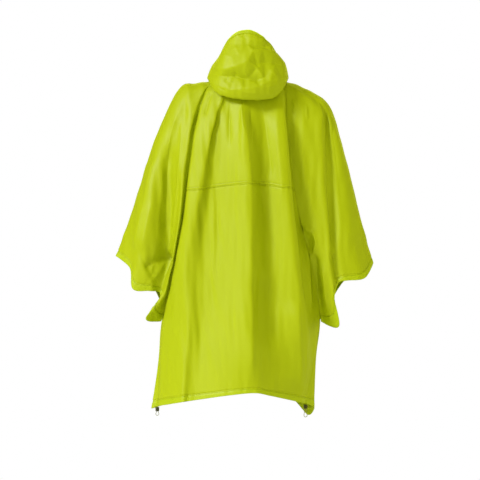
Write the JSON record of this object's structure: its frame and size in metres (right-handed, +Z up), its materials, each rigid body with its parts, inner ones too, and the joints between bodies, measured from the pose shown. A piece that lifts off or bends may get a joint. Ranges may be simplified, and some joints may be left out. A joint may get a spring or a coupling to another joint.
{
  "type": "rain poncho",
  "caption": "Pull-on rain poncho in thin lime cloth as worn, with wide open sleeve wings, a cross seam on the back, hem toggles and the hood folded down behind the neck.",
  "frame": {"origin": "middle of the neck opening at the height of its back edge, where the garment rests round a wearer's neck and shoulders", "axes": "+Z up from hem to hood, +Y towards the front of the garment, +X towards the wearer's right hand"},
  "size_m": [0.8003, 0.3954, 1.1797],
  "materials": {
    "shell_cloth": "thin coated nylon, soft sheen",
    "toggle_plastic": "matt moulded",
    "elastic_cord": "woven elastic"
  },
  "bodies": {
    "root": {"back_upper": "shell_cloth", "back_lower": "shell_cloth", "back_hem": "shell_cloth", "front_panel": "shell_cloth", "front_hem": "shell_cloth", "sleeve_left": "shell_cloth", "sleeve_right": "shell_cloth", "cuff_hem_left": "shell_cloth", "cuff_hem_right": "shell_cloth", "hood": "shell_cloth", "hood_brim": "shell_cloth", "hem_toggle_left": "toggle_plastic", "hem_toggle_right": "toggle_plastic", "hem_loop_left": "elastic_cord", "hem_loop_right": "elastic_cord"}
  },
  "joints": []
}
